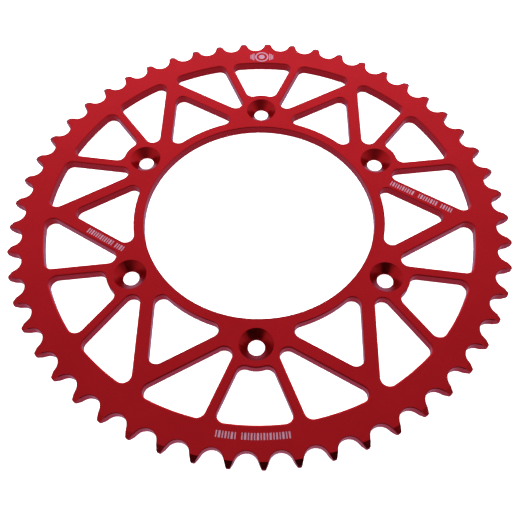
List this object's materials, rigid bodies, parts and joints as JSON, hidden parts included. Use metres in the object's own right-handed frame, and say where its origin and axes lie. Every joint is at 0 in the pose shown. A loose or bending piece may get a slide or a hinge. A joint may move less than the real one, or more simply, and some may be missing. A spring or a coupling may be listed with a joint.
{
  "type": "rear chain sprocket",
  "caption": "Flat one-piece chain sprocket in red anodised aluminium, with a large pilot bore, countersunk bolt holes and a rim carried on slim triangulated spokes.",
  "frame": {"origin": "centre of the bolt circle and of the pilot bore, on the flat back face that sits against the hub", "axes": "+Z along the bore axis towards the countersunk front face; +Y through one bolt hole; +X to the right of it, halfway between two bolt holes"},
  "size_m": [0.2734, 0.2735, 0.0056],
  "materials": {
    "red_anodised_aluminium": "satin red anodising over 7000-series aluminium"
  },
  "bodies": {
    "root": {"rear_sprocket": "red_anodised_aluminium"}
  },
  "joints": []
}
